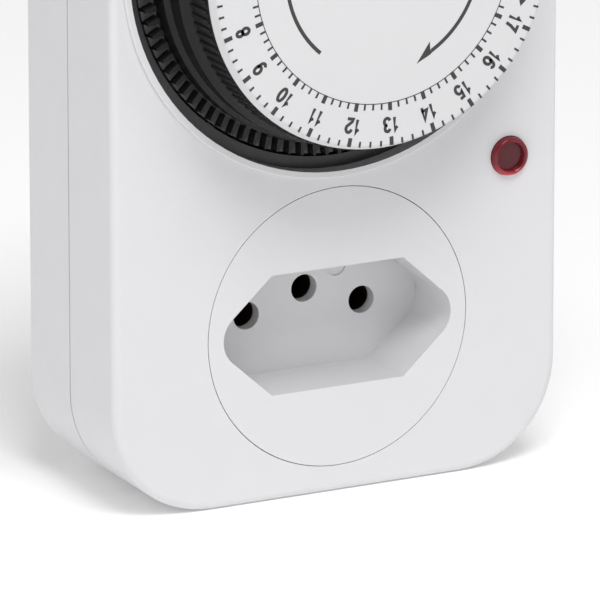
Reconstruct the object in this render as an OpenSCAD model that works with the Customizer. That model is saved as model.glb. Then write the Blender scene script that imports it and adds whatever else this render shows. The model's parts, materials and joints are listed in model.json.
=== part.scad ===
// Plug-in 24 hour segment timer for the mains, with a three-pin plug on its back
// and a matching outlet below the dial. Millimetres, +Z up, +Y into the wall.
// Origin: middle of the line between the two outer plug pins, on the face of the plug.

/* [Case] */
// Width of the case
body_w = 72.8; // [68:0.2:90]
// Height of the case
body_h = 122.2; // [118:0.2:150]
// Depth of the case, front face to back face
body_d = 29; // [27:0.5:40]
// Depth of the front cover, which ends at the seam
front_d = 14.5; // [12:0.5:17]
// Gap that shows as the seam between the two covers
seam_gap = 0.3; // [0.1:0.05:0.6]
// Thickness of the case walls
wall = 2; // [1.6:0.1:2.6]
// Radius of the case's corners, seen from the front
corner_r = 16; // [12:0.5:20]
// Rounding of the outer edges
edge_r = 1.2; // [0.6:0.1:1.8]
// From the outlet's centre down to the lower edge of the case
socket_drop = 25.2; // [25:0.2:32]

/* [Outlet and plug] */
// Distance between the two outer pins
pin_pitch = 19; // [19:0.1:19.2]
// Offset of the earth pin from the line of the outer pins
earth_rise = 3; // [2.8:0.1:3.2]
// Radius of a plug pin
pin_r = 2; // [2:0.05:2.4]
// Length of a plug pin past the plug's face
pin_len = 19; // [17:0.5:19]
// Radius of the round outlet insert
insert_r = 21.1; // [20.6:0.1:24]
// Gap round the outlet insert
insert_gap = 0.12; // [0.05:0.01:0.25]
// Tip to tip length of the outlet's recess
recess_len = 37.3; // [36.6:0.1:38]
// Height of the outlet's recess
recess_h = 18.2; // [17.6:0.1:19]
// Length of the recess's upper and lower flats
recess_flat = 21.6; // [20:0.1:23]
// Angle of the recess's slanted walls
recess_slant = 42.2; // [38:0.1:46]
// Depth of the outlet's recess
recess_d = 11; // [9:0.5:12]
// Gap all round between a plug and a recess
plug_gap = 0.45; // [0.2:0.05:0.8]
// Depth of the plug that stands out of the back
plug_d = 11; // [9:0.5:12]

/* [Dial] */
// Height of the dial's axis above the outlet's centre
dial_rise = 57.4; // [56:0.2:70]
// Radius of the opening round the dial
opening_r = 33.7; // [33:0.1:34]
// Width of the raised lip round the opening
lip_w = 1; // [0.6:0.1:1.6]
// Height of the raised lip
lip_h = 0.5; // [0.2:0.1:1]
// Distance from the opening's rim in to the edge of the printed disc
label_inset = 6.4; // [6:0.1:9]
// Height of the printed disc's face above the case
label_h = 14.2; // [10:0.1:18]
// Height of the bevel on the printed disc
label_bevel = 1.4; // [0.6:0.1:1.6]
// Distance from the opening's rim in to the ring that guides the tappets
guide_inset = 2.2; // [2.1:0.1:3]
// Thickness of the guide ring
guide_t = 4; // [3:0.5:5]
// Depth of the guide ring's face behind the front of the case
guide_y = 2.2; // [1.6:0.1:3]
// How far a tappet slides
tappet_travel = 1.8; // [1:0.1:2.2]
// Gap between a tappet and its slot
tappet_gap = 0.1; // [0.06:0.01:0.2]
// Radius of the dial's axle
axle_r = 2.5; // [2:0.1:3]
// Running clearance on axles
running_gap = 0.05; // [0.02:0.01:0.09]

/* [Clockwork] */
// Module of the gears
gear_module = 0.5; // [0.45:0.01:0.52]
// Teeth on the dial gear
dial_teeth = 80; // [72:4:84]
// Teeth on the idler's wheel
wheel_teeth = 48; // [40:4:52]
// Teeth on each pinion
pinion_teeth = 12; // [12:1:14]
// Direction from the dial's axis to the idler
idler_angle = -50; // [-55:1:-45]
// Direction from the idler to the motor
motor_angle = 100; // [95:1:110]
// Radius of the motor's can
motor_r = 15.5; // [14:0.5:16]
// Thickness of the chassis plate
plate_t = 1.2; // [1:0.1:1.6]

/* [Lamp and switch] */
// Radius of the red lens
lens_r = 2.9; // [2:0.1:3.4]
// Height of the lens above the case
lens_h = 1.1; // [0.5:0.1:1.6]
// Distance of the lens from the case's middle line
lens_x = 28.2; // [26:0.1:28.6]
// Height of the lens above the outlet's centre
lens_z = 22.4; // [20:0.1:24]
// Travel of the override slider on the right side
slider_travel = 5; // [3:0.5:6]
// Gap round the override slider
slider_gap = 0.25; // [0.15:0.05:0.4]

/* [Hidden] */
$fn = 96;
hours = 24;
tappets_per_hour = 4;
tappets = hours * tappets_per_hour;
front_y = -(body_d + plug_d);
body_low = -socket_drop;
body_top = body_low + body_h;
cut = 1;

// places in depth below are counted from the front face of the case
rear_in = body_d - wall;
rear_start = front_d + seam_gap;
tongue_t = 1;
tongue_d = 1.5;
fit_gap = 0.05;

// outlet
floor_t = 2;
insert_flange = 1.5;
hole_r = pin_r + 0.1;
block_y = recess_d + floor_t;
block_d = 10;
sleeve_out = pin_r + 1;
sleeve_in = pin_r + 0.05;
sleeve_y = block_y + 0.2;
sleeve_end = body_d + 1.2;
pin_head_r = pin_r + 1.2;
pin_head_t = 2;
collar_r = pin_r + 0.4;
collar_h = 0.3;
dimple = [5.3, 5.8];
dimple_r = 1.6;
dimple_d = 0.25;
insert_wall = 1.6;

// dial
label_r = opening_r - label_inset;
guide_r = opening_r - guide_inset;
carrier_r = guide_r - 2.3;
seat_r = carrier_r - 1.6;
step_r = carrier_r - 0.7;
skirt_r = label_r;
label_back = -(label_h - 1.8);
hub_r = 6.5;
hub_step = 5;
pocket_d = 1.8;
gear_y = guide_y + guide_t + 1.6;
gear_t = 2.4;
skirt_ribs = 120;
tappet_in = carrier_r + 0.35;
tappet_out = guide_r - 0.1;
tappet_front = 0.6;
tappet_len = 8;
tappet_root_w = 1;
tappet_tip_w = 0.4;
foot_in = seat_r + 0.7;
foot_t = 1;
foot_y = guide_y + guide_t + 0.15;

// clockwork
plate_y = rear_start + 0.4;
wheel_y = gear_y + gear_t + 1.2;
wheel_t = 2;
dial_pitch_r = gear_module * dial_teeth / 2;
wheel_pitch_r = gear_module * wheel_teeth / 2;
pinion_pitch_r = gear_module * pinion_teeth / 2;
idler_x = (dial_pitch_r + pinion_pitch_r) * cos(idler_angle);
idler_z = dial_rise + (dial_pitch_r + pinion_pitch_r) * sin(idler_angle);
motor_x = idler_x + (wheel_pitch_r + pinion_pitch_r) * cos(motor_angle);
motor_z = idler_z + (wheel_pitch_r + pinion_pitch_r) * sin(motor_angle);
small_axle_r = 1;
can_t = 0.6;
can_y = plate_y + plate_t;
can_end = rear_in - 0.4;
coil_in = motor_r - 6;

// posts and screws
post_r = 2;
post_x = body_w / 2 - wall - 3.4;
post_low = dial_rise - 26.4;
post_high = dial_rise + 21.6;
post_screw_r = 1.1;
boss_r = 3.2;
boss_x = body_w / 2 - 9.1;
boss_low = body_low + 10.2;
boss_high = body_top - 9.5;
screw_r = 1.25;
screw_head_r = 2.7;
screw_head_t = 1.6;

// switch, at the lower left behind the tappets
lever_x = -22.5;
lever_w = 7;
lever_z = dial_rise - 32.9;
lever_y = foot_y + 6.85;
lever_t = 2;
lever_top = dial_rise - 19.2;
lever_barrel_r = 2.2;
barrel_w = 10;
ear_t = 1.4;
ear_w = 4;
contact_z = lever_z + 8.5;
contact_gap = 1.2;
contact_r = 1.3;
strip_t = 0.8;
strip_y = body_d - 4;

// blank rating plate's recess on the back
plate_half = [22, 16];
plate_recess = 0.4;

// override slider, on the right side
slider_y = body_d - 8;
slider_z = 13;
slider_len = 7;
slider_w = 4;

function tappet_name(h) = str("tappets_", h < 10 ? "0" : "", h);

// ---- helpers ----

// Moves children from the case's front face to the object's own origin.
module from_front() {
    translate([0, front_y, 0]) children();
}

// Round bar along the depth, from y0 to y1.
module bar(r, y0, y1, x = 0, z = 0) {
    translate([x, y0, z]) rotate([-90, 0, 0]) cylinder(r = r, h = y1 - y0);
}

// Flat shape in X and Z, thickened from y0 to y1.
module slab(y0, y1) {
    translate([0, y1, 0]) rotate([90, 0, 0]) linear_extrude(height = y1 - y0) children();
}

// Turned shape: the children's x is the radius and their y is the depth.
module turned(x = 0, z = 0) {
    translate([x, 0, z]) rotate([-90, 0, 0]) rotate_extrude() children();
}

// Block given by its two opposite corners.
module block(low, high) {
    translate(low) cube(high - low);
}

// Rectangle with round corners between two opposite corners.
module round_rect(low, high, r) {
    size = high - low;
    translate(low + [r, 0]) square(size - [2 * r, 0]);
    translate(low + [0, r]) square(size - [0, 2 * r]);
    for (x = [low[0] + r, high[0] - r], z = [low[1] + r, high[1] - r]) {
        translate([x, z]) circle(r = r);
    }
}

// Outline of the case, moved inwards by inset.
module case_outline(inset = 0) {
    side = body_w / 2 - inset;
    round_rect([-side, body_low + inset], [side, body_top - inset], corner_r - inset);
}

// Half of a section through the case: width by depth, with a rounded front corner.
module edge_section(half, depth) {
    translate([0, edge_r]) square([half, depth - edge_r]);
    square([half - edge_r, depth]);
    translate([half - edge_r, edge_r]) circle(r = edge_r);
}

// Solid with the case's outline and a rounded front edge.
module case_solid(depth) {
    low = body_low + corner_r;
    high = body_top - corner_r;
    for (x = [-1, 1], z = [low, high]) {
        turned(x * (body_w / 2 - corner_r), z) edge_section(corner_r, depth);
    }
    translate([0, 0, low]) linear_extrude(height = high - low) {
        edge_section(body_w / 2, depth);
        mirror([1, 0]) edge_section(body_w / 2, depth);
    }
    mid = (body_low + body_top) / 2;
    reach = body_w / 2 - corner_r;
    translate([-reach, 0, mid]) rotate([90, 0, 90]) linear_extrude(height = 2 * reach) {
        rotate(-90) edge_section(body_h / 2, depth);
        mirror([0, 1]) rotate(-90) edge_section(body_h / 2, depth);
    }
}

// Flattened hexagon of the outlet and the plug, grown by grow on every side.
module recess_outline(grow = 0) {
    half = recess_len / 2;
    flat = recess_flat / 2;
    slope = tan(recess_slant);
    tip_r = (recess_h / 2 - slope * (half - flat)) / (1 / cos(recess_slant) - slope);
    tip_x = half - tip_r;
    r = tip_r + grow;
    inside = r - 0.02;
    corner = [flat + grow * tan(recess_slant / 2), recess_h / 2 + grow];
    touch = [tip_x + inside * sin(recess_slant), inside * cos(recess_slant)];
    polygon([corner, touch, [touch[0], -touch[1]], [corner[0], -corner[1]],
             -corner, -touch, [-touch[0], touch[1]], [-corner[0], corner[1]]]);
    for (x = [-tip_x, tip_x]) translate([x, 0]) circle(r = r);
}

// Places children at the three contacts: live, neutral and earth.
module at_contacts() {
    for (x = [-pin_pitch / 2, pin_pitch / 2]) translate([x, 0, 0]) children();
    translate([0, 0, earth_rise]) children();
}

module at_bosses() {
    for (x = [-boss_x, boss_x], z = [boss_low, boss_high]) translate([x, 0, z]) children();
}

module at_posts() {
    for (x = [-post_x, post_x], z = [post_low, post_high]) translate([x, 0, z]) children();
}

// Point at a radius and an angle.
function polar(r, a) = [r * cos(a), r * sin(a)];

// Corner points of one gear tooth, as radius and share of the tooth pitch.
function tooth_points(teeth) =
    let (pitch_r = gear_module * teeth / 2,
         root_r = pitch_r - 1.05 * gear_module,
         tip_r = pitch_r + 0.8 * gear_module)
    [[root_r, -0.3], [tip_r, -0.12], [tip_r, 0.12], [root_r, 0.3]];

// Gear outline with a tooth's middle at the angle start.
module gear_outline(teeth, start) {
    polygon([for (i = [0 : teeth - 1], p = tooth_points(teeth))
        polar(p[0], start + (i + p[1]) * 360 / teeth)]);
}

// Gear from y0 to y1 with a bore.
module gear(teeth, start, bore, y0, y1, x, z) {
    translate([x, 0, z]) slab(y0, y1) difference() {
        gear_outline(teeth, start);
        circle(r = bore);
    }
}

// Angle of an hour's mark on the dial, at the start of the hour.
function hour_angle(h) = -102.1 + 360 / hours * (h - 12);

// Angle of a tappet, counted from the first one of hour 0.
function tappet_angle(i) = hour_angle(0) + (i + 0.5) * 360 / tappets;

// Section of a tappet's blade across the depth, grown by grow.
function blade_points(grow = 0, reach = tappet_out) =
    let (taper = (tappet_root_w - tappet_tip_w) / 2 / (tappet_out - tappet_in),
         inner = tappet_in - grow,
         root = tappet_root_w / 2 + grow,
         tip = root - taper * (reach - tappet_in))
    [[inner, -root], [reach, -tip], [reach, tip], [inner, root]];

// ---- case ----

module front_cover() {
    color("white") from_front() difference() {
        union() {
            difference() {
                case_solid(front_d);
                slab(wall, front_d + cut) case_outline(wall);
                bar(opening_r, -cut, wall + cut, 0, dial_rise);
                bar(insert_r + insert_gap, -cut, wall + cut);
                bar(lens_r + insert_gap, -cut, wall + cut, lens_x, lens_z);
            }
            opening_lip();
            at_bosses() bar(boss_r, wall - cut, rear_in - fit_gap);
            at_posts() bar(post_r, wall - cut, plate_y);
            lever_ears();
        }
        at_bosses() bar(screw_r + fit_gap, front_d - 5, rear_in + cut);
        at_posts() bar(post_screw_r + fit_gap, plate_y - 6, plate_y + cut);
        pivot_bar(1.02 * small_axle_r, barrel_w + 4 * ear_t);
    }
}

// Raised lip round the dial's opening.
module opening_lip() {
    soft = min(lip_w, lip_h) / 2;
    outer = opening_r + lip_w;
    turned(0, dial_rise) {
        translate([opening_r, -lip_h + soft]) square([lip_w, lip_h - soft + wall / 2]);
        translate([opening_r, -lip_h]) square([lip_w - soft, lip_h]);
        translate([outer - soft, -lip_h + soft]) circle(r = soft);
    }
}

// Bar across the case at the switch lever's pivot.
module pivot_bar(r, length) {
    translate([lever_x - length / 2, lever_y, lever_z]) rotate([0, 90, 0]) cylinder(r = r, h = length);
}

// Two ears that hold the switch lever's pin.
module lever_ears() {
    gap = barrel_w / 2 + slider_gap;
    for (x = [lever_x - gap - ear_t, lever_x + gap]) {
        block([x, wall - cut, lever_z - ear_w / 2], [x + ear_t, lever_y + ear_w / 2, lever_z + ear_w / 2]);
    }
}

module rear_cover() {
    color("white") from_front() difference() {
        union() {
            difference() {
                translate([0, body_d, 0]) mirror([0, 1, 0]) case_solid(body_d - rear_start);
                slab(rear_start - cut, rear_in) case_outline(wall);
            }
            rear_tongue();
            slab(rear_in, body_d + plug_d) recess_outline(-plug_gap);
        }
        slab(rear_in - cut, body_d + plug_d - wall) recess_outline(-plug_gap - wall);
        at_contacts() bar(collar_r + fit_gap, body_d, body_d + plug_d + cut);
        at_bosses() bar(screw_r + 2 * fit_gap, rear_in - cut, body_d + cut);
        at_bosses() bar(screw_head_r + 0.3, body_d - screw_head_t - 0.1, body_d + cut);
        slider_slot();
        translate([0, 0, dial_rise]) slab(body_d - plate_recess, body_d + cut) {
            round_rect(-plate_half, plate_half, 2);
        }
    }
}

// Tongue that seats inside the front cover, behind the seam.
module rear_tongue() {
    outer = wall + 2 * fit_gap;
    root = rear_start + 1.5;
    slab(front_d - tongue_d, root) difference() {
        case_outline(outer);
        case_outline(outer + tongue_t);
    }
    slab(rear_start, root) difference() {
        case_outline(wall / 2);
        case_outline(outer + tongue_t);
    }
}

// Slot in the right side for the override slider.
module slider_slot() {
    low = slider_z - slider_gap;
    high = slider_z + slider_len + slider_travel + slider_gap;
    half = slider_w / 2 + slider_gap;
    block([body_w / 2 - wall - cut, slider_y - half, low], [body_w / 2 + cut, slider_y + half, high]);
}

module dial_bezel() {
    color("dimgray") from_front() translate([0, 0, dial_rise]) difference() {
        bar(opening_r + 0.5, wall + fit_gap, wall + 1.2);
        bar(guide_r + 0.4, -cut, wall + 2);
    }
}

module neon_lens() {
    dome = (lens_r * lens_r + lens_h * lens_h) / (2 * lens_h);
    color("darkred") from_front() translate([lens_x, 0, lens_z]) union() {
        intersection() {
            translate([0, dome - lens_h, 0]) sphere(r = dome);
            bar(lens_r, -lens_h - cut, wall);
        }
        bar(lens_r, 0, wall + 0.5);
        bar(lens_r + 1, wall + fit_gap, wall + 1);
    }
}

module neon_bulb() {
    glass_r = 2.3;
    tip = wall + 1.6;
    color("lightsalmon") from_front() translate([lens_x, 0, lens_z]) {
        translate([0, tip + glass_r, 0]) sphere(r = glass_r);
        bar(glass_r, tip + glass_r, tip + 9);
        for (x = [-1, 1]) bar(0.3, tip + 8, tip + 13, x);
    }
}

module neon_resistor() {
    length = 6;
    y = wall + 17;
    color("tan") from_front() translate([lens_x - length / 2, y, lens_z]) rotate([0, 90, 0]) {
        cylinder(r = 1.2, h = length);
    }
}

module case_screws() {
    head_end = body_d - 0.1;
    color("silver") from_front() at_bosses() difference() {
        union() {
            bar(screw_head_r, head_end - screw_head_t, head_end);
            bar(screw_r, front_d - 3, head_end - 1);
        }
        for (turn = [0, 90]) rotate([0, turn, 0]) {
            block([-1.8, head_end - 0.8, -0.35], [1.8, head_end + cut, 0.35]);
        }
    }
}

// ---- outlet and plug ----

module socket_insert() {
    color("white") from_front() difference() {
        union() {
            bar(insert_r, 0, wall + 1);
            bar(insert_r + insert_flange, wall + fit_gap, wall + insert_flange);
            slab(wall, block_y) recess_outline(insert_wall);
        }
        slab(-cut, recess_d) recess_outline();
        at_contacts() bar(hole_r, recess_d - cut, block_y + cut);
        bar(dimple_r, recess_d - cut, recess_d + dimple_d, dimple[0], dimple[1]);
    }
}

module contact_block() {
    color("ivory") from_front() difference() {
        slab(block_y + fit_gap, block_y + block_d) {
            round_rect([-pin_pitch / 2 - 4.5, -6], [pin_pitch / 2 + 4.5, earth_rise + 5], 1.5);
        }
        at_contacts() bar(sleeve_out + fit_gap, block_y - cut, block_y + block_d + cut);
    }
}

// Split sleeve that grips a plug pin.
module sleeve(x, z) {
    translate([x, 0, z]) difference() {
        bar(sleeve_out, sleeve_y, sleeve_end);
        bar(sleeve_in, sleeve_y - cut, sleeve_end + cut);
        block([-0.4, sleeve_y - cut, -sleeve_out - cut], [0.4, sleeve_y + 12, 0]);
    }
}

module sleeve_live() {
    color("goldenrod") from_front() sleeve(-pin_pitch / 2, 0);
}

module sleeve_neutral() {
    color("goldenrod") from_front() sleeve(pin_pitch / 2, 0);
}

module sleeve_earth() {
    color("goldenrod") from_front() {
        sleeve(0, earth_rise);
        bar(sleeve_out, sleeve_end, pin_back(), 0, earth_rise);
    }
}

// Depth of the inner end of a plug pin.
function pin_back() = body_d + plug_d - wall - pin_head_t;

// Plug pin with a head inside the plug, a collar through its face and a softened tip.
module plug_pin(x, z) {
    face = body_d + plug_d;
    tip = face + pin_len;
    head_end = pin_back() + pin_head_t;
    soft = 0.8;
    color("gainsboro") from_front() turned(x, z) polygon([
        [0, pin_back()], [pin_head_r, pin_back()], [pin_head_r, head_end], [collar_r, head_end],
        [collar_r, face + collar_h], [pin_r, face + collar_h], [pin_r, tip - soft],
        [pin_r - soft, tip], [0, tip]]);
}

module pin_live() {
    plug_pin(-pin_pitch / 2, 0);
}

module pin_neutral() {
    plug_pin(pin_pitch / 2, 0);
}

module pin_earth() {
    plug_pin(0, earth_rise);
}

module neutral_link() {
    color("goldenrod") from_front() translate([pin_pitch / 2, 0, 0]) {
        bar(sleeve_out, sleeve_end, pin_back());
        block([-strip_t / 2, sleeve_end + 1, 0], [strip_t / 2, sleeve_end + 4, sleeve_out + 2.4]);
    }
}

// Strip from the live pin to the switch lever's pin.
module live_input_bar() {
    half = 1.2;
    pin_x = -pin_pitch / 2;
    turn_x = -(recess_len / 2 - wall - plug_gap - 1.1);
    side_x = lever_x - barrel_w / 2 - ear_t - slider_gap - 0.5;
    back = pin_back();
    low_y = rear_in - 0.1;
    color("goldenrod") from_front() difference() {
        union() {
            bar(pin_head_r - 0.2, back - strip_t, back, pin_x);
            block([turn_x, back - strip_t, -half], [pin_x, back, half]);
            block([turn_x, low_y - strip_t, -half], [turn_x + strip_t, back, half]);
            block([side_x - strip_t, low_y - strip_t, -half], [turn_x + strip_t, low_y, half]);
            block([side_x - strip_t, low_y - strip_t, -half], [side_x, low_y, lever_z + 2]);
            block([side_x - strip_t, lever_y - 2, lever_z - 2], [side_x, low_y, lever_z + 2]);
        }
        pivot_bar(small_axle_r + fit_gap, 3 * barrel_w);
    }
}

// Strip from the fixed contact to the live sleeve.
module live_output_bar() {
    pin_x = -pin_pitch / 2;
    half = 2;
    fixed_y = lever_y + lever_t / 2 + 0.4 + strip_t + contact_gap + strip_t;
    low = lever_z - 1.2;
    top = contact_z + half;
    end_y = strip_y + strip_t;
    color("goldenrod") from_front() difference() {
        union() {
            bar(sleeve_out + 1.4, strip_y, end_y, pin_x);
            block([pin_x - half, strip_y, sleeve_out], [pin_x + half, end_y, low + strip_t]);
            block([lever_x - half, strip_y, low - 3], [pin_x + half, end_y, low + strip_t]);
            block([lever_x - half, fixed_y, low], [lever_x + half, end_y, low + strip_t]);
            block([lever_x - half, fixed_y, low], [lever_x + half, fixed_y + strip_t, top]);
            bar(contact_r, fixed_y - strip_t, fixed_y, lever_x, contact_z);
        }
        bar(sleeve_out + fit_gap, strip_y - cut, end_y + cut, pin_x);
    }
}

// ---- dial ----

module dial_carrier() {
    bore = axle_r + running_gap;
    back = guide_y + guide_t;
    gear_end = gear_y + gear_t + 0.4;
    floor_y = label_back + pocket_d;
    inner_y = label_back + 1.6;
    color("black") from_front() {
        turned(0, dial_rise) polygon([
            [hub_step, label_back], [skirt_r - 0.3, label_back], [skirt_r, label_back + 0.3],
            [skirt_r, -6.6], [step_r - 0.5, -5.8], [step_r, -5.3], [step_r, -2.2],
            [carrier_r, -1.4], [carrier_r, guide_y], [seat_r, guide_y], [seat_r, back],
            [seat_r - 1.8, back], [seat_r - 1.8, -1.5], [skirt_r - 2, -3], [skirt_r - 2, inner_y],
            [hub_r, inner_y], [hub_r, gear_y], [hub_step, gear_y], [hub_step, gear_end],
            [bore, gear_end], [bore, floor_y], [hub_step, floor_y]]);
        translate([0, 0, dial_rise]) slab(label_back + 0.4, -7) skirt_ribbing();
    }
}

// Ring of fine grip ribs round the dial's skirt.
module skirt_ribbing() {
    step = 360 / skirt_ribs;
    difference() {
        polygon([for (i = [0 : skirt_ribs - 1], p = [[0.05, -0.3], [0.35, -0.15], [0.35, 0.15], [0.05, 0.3]])
            polar(skirt_r + p[0], (i + p[1]) * step)]);
        circle(r = skirt_r - 0.8);
    }
}

module tappet_guide() {
    slot = blade_points(tappet_gap, guide_r);
    color("silver") from_front() translate([0, 0, dial_rise]) slab(guide_y, guide_y + guide_t) difference() {
        polygon([for (i = [0 : tappets - 1], p = [slot[1], slot[0], slot[3], slot[2]])
            let (a = tappet_angle(i)) [p[0] * cos(a) - p[1] * sin(a), p[0] * sin(a) + p[1] * cos(a)]]);
        circle(r = seat_r + fit_gap);
    }
}

// The tappets of one hour, each a blade with a foot behind the guide ring.
module tappet_group(h) {
    half = tappet_root_w / 2;
    color("black") from_front() translate([0, 0, dial_rise]) for (k = [0 : tappets_per_hour - 1]) {
        rotate([0, -tappet_angle(h * tappets_per_hour + k), 0]) {
            slab(tappet_front, tappet_front + tappet_len) polygon(blade_points());
            block([foot_in, foot_y, -half], [tappet_in + 0.4, foot_y + foot_t, half]);
        }
    }
}

module dial_label() {
    back = label_back - fit_gap;
    color("whitesmoke") from_front() turned(0, dial_rise) polygon([
        [0, back], [label_r - 0.1, back], [label_r, back - 0.2], [label_r, -label_h + label_bevel],
        [label_r - 0.6 * label_bevel, -label_h], [0, -label_h]]);
}

module dial_retainer() {
    seat = label_back + pocket_d - fit_gap;
    color("silver") from_front() turned(0, dial_rise) polygon([
        [0, seat - 1.5], [hub_step - 0.4, seat - 1.5], [hub_step - 0.4, seat],
        [1.2, seat], [1.2, seat + 5], [0, seat + 5]]);
}

module dial_gear() {
    color("ivory") from_front() {
        gear(dial_teeth, idler_angle, hub_step + fit_gap, gear_y + fit_gap, gear_y + gear_t, 0, dial_rise);
    }
}

module dial_axle() {
    front = label_back + pocket_d - fit_gap;
    collar = gear_y + gear_t + 0.6;
    color("silver") from_front() turned(0, dial_rise) polygon([
        [1.25, front], [axle_r, front], [axle_r, collar], [axle_r + 1.1, collar],
        [axle_r + 1.1, plate_y - fit_gap], [axle_r, plate_y - fit_gap], [axle_r, can_y - 0.1],
        [0, can_y - 0.1], [0, front + 6], [1.25, front + 6]]);
}

// ---- clockwork ----

module chassis_plate() {
    side = body_w / 2 - wall - 1.4;
    window = lever_w / 2 + 1.2;
    color("silver") from_front() difference() {
        slab(plate_y, plate_y + plate_t) {
            round_rect([-side, lever_z + 3.5], [side, post_high + 3], 3);
        }
        block([lever_x - window, plate_y - cut, lever_z],
              [lever_x + window, can_y + cut, lever_top + 3]);
        bar(axle_r + fit_gap, plate_y - cut, can_y + cut, 0, dial_rise);
        bar(small_axle_r + fit_gap, plate_y - cut, can_y + cut, idler_x, idler_z);
        bar(small_axle_r + 0.6, plate_y - cut, can_y + cut, motor_x, motor_z);
        at_posts() bar(post_screw_r + fit_gap, plate_y - cut, can_y + cut);
    }
}

module chassis_screws() {
    color("silver") from_front() at_posts() {
        bar(post_screw_r, plate_y - 5, can_y);
        bar(post_r, can_y, can_y + 1.2);
    }
}

module idler_axle() {
    color("silver") from_front() translate([idler_x, 0, idler_z]) {
        bar(small_axle_r, gear_y - 0.6, can_y - 0.1);
        bar(1.8 * small_axle_r, gear_y - 1.3, gear_y - 0.5);
    }
}

module idler_gear() {
    bore = small_axle_r + running_gap;
    toward_dial = idler_angle + 180;
    color("ivory") from_front() {
        gear(pinion_teeth, toward_dial + 180 / pinion_teeth, bore, gear_y - 0.2, wheel_y, idler_x, idler_z);
        gear(wheel_teeth, motor_angle, bore, wheel_y, wheel_y + wheel_t, idler_x, idler_z);
        translate([idler_x, 0, idler_z]) slab(wheel_y + wheel_t, plate_y - 0.2) difference() {
            circle(r = 2 * small_axle_r);
            circle(r = bore);
        }
    }
}

module motor_can() {
    color("silver") from_front() translate([motor_x, 0, motor_z]) difference() {
        bar(motor_r, can_y + fit_gap, can_end);
        bar(motor_r - can_t, can_y - cut, can_end - can_t);
        bar(small_axle_r + running_gap, can_end - 2 * cut, can_end + cut);
    }
}

module motor_coil() {
    color("peru") from_front() translate([motor_x, 0, motor_z]) difference() {
        bar(motor_r - can_t - 0.2, can_y + 1, can_end - can_t - 0.2);
        bar(coil_in, can_y - cut, can_end + cut);
    }
}

module motor_rotor() {
    toward_idler = motor_angle + 180;
    color("dimgray") from_front() {
        gear(pinion_teeth, toward_idler + 180 / pinion_teeth, small_axle_r - 0.2,
             wheel_y - 0.2, wheel_y + wheel_t + 0.2, motor_x, motor_z);
        translate([motor_x, 0, motor_z]) {
            bar(small_axle_r, wheel_y - 0.2, can_end - 0.1);
            bar(coil_in - 1, can_y + 1.4, can_end - can_t - 0.6);
        }
    }
}

// ---- switch ----

module switch_lever() {
    front = lever_y - lever_t / 2;
    nose = tappet_front + tappet_len + tappet_travel + 0.5;
    color("ivory") from_front() difference() {
        union() {
            pivot_bar(lever_barrel_r, barrel_w);
            block([lever_x - lever_w / 2, front, lever_z], [lever_x + lever_w / 2, front + lever_t, lever_top]);
            block([lever_x - 1.5, nose, lever_top - 2], [lever_x + 1.5, front + lever_t, lever_top]);
        }
        pivot_bar(small_axle_r + running_gap, barrel_w + 2 * cut);
    }
}

module lever_pin() {
    left = lever_x - barrel_w / 2 - ear_t - slider_gap - 0.5 - strip_t - 0.1;
    right = lever_x + barrel_w / 2 + ear_t + slider_gap;
    color("silver") from_front() translate([left, lever_y, lever_z]) rotate([0, 90, 0]) {
        cylinder(r = small_axle_r, h = right - left);
    }
}

module contact_leaf() {
    face = lever_y + lever_t / 2;
    color("goldenrod") from_front() {
        block([lever_x - 1.5, face, lever_z + 3], [lever_x + 1.5, face + 0.4, contact_z + 1.5]);
        bar(contact_r, face + 0.4, face + 0.4 + strip_t, lever_x, contact_z);
    }
}

module override_slider() {
    side = body_w / 2;
    half = slider_w / 2;
    top = slider_z + slider_len;
    rib_pitch = 1.6;
    color("dimgray") from_front() {
        block([side - wall - 1, slider_y - half, slider_z], [side + slider_gap + 0.5, slider_y + half, top]);
        block([side - wall - 1.8, slider_y - half - 1.2, slider_z - 3],
              [side - wall - slider_gap, slider_y + half + 1.2, top + 3]);
        block([side + slider_gap, slider_y - half - 1, slider_z - 0.5],
              [side + slider_gap + 1, slider_y + half + 1, top + 0.5]);
        for (k = [0 : 3]) {
            z = slider_z + 0.6 + k * rib_pitch;
            block([side + slider_gap + 0.5, slider_y - half - 1, z],
                  [side + slider_gap + 1.6, slider_y + half + 1, z + 0.8]);
        }
    }
}

front_cover();
rear_cover();
dial_bezel();
socket_insert();
contact_block();
sleeve_live();
sleeve_neutral();
sleeve_earth();
pin_live();
pin_neutral();
pin_earth();
neutral_link();
live_input_bar();
live_output_bar();
neon_lens();
neon_bulb();
neon_resistor();
chassis_plate();
chassis_screws();
motor_can();
motor_coil();
motor_rotor();
idler_gear();
idler_axle();
dial_axle();
dial_carrier();
tappet_guide();
dial_label();
dial_retainer();
dial_gear();
switch_lever();
lever_pin();
contact_leaf();
override_slider();
case_screws();
for (h = [0 : hours - 1]) {
    tappet_group(h);
}
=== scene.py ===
"""Looks of a plug-in 24 hour segment timer.

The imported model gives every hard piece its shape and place. This script dresses each piece in its finish, builds the
printed dial face, the lamp's lens and the blank plate on the back, and sets up the studio.
All lengths are in metres, with +Z up and +Y into the wall.
"""

import json
import logging
import math
from dataclasses import dataclass, field
from enum import Enum
from typing import Callable, Iterable, Sequence

import bmesh
import bpy
from mathutils import Matrix, Vector


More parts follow.
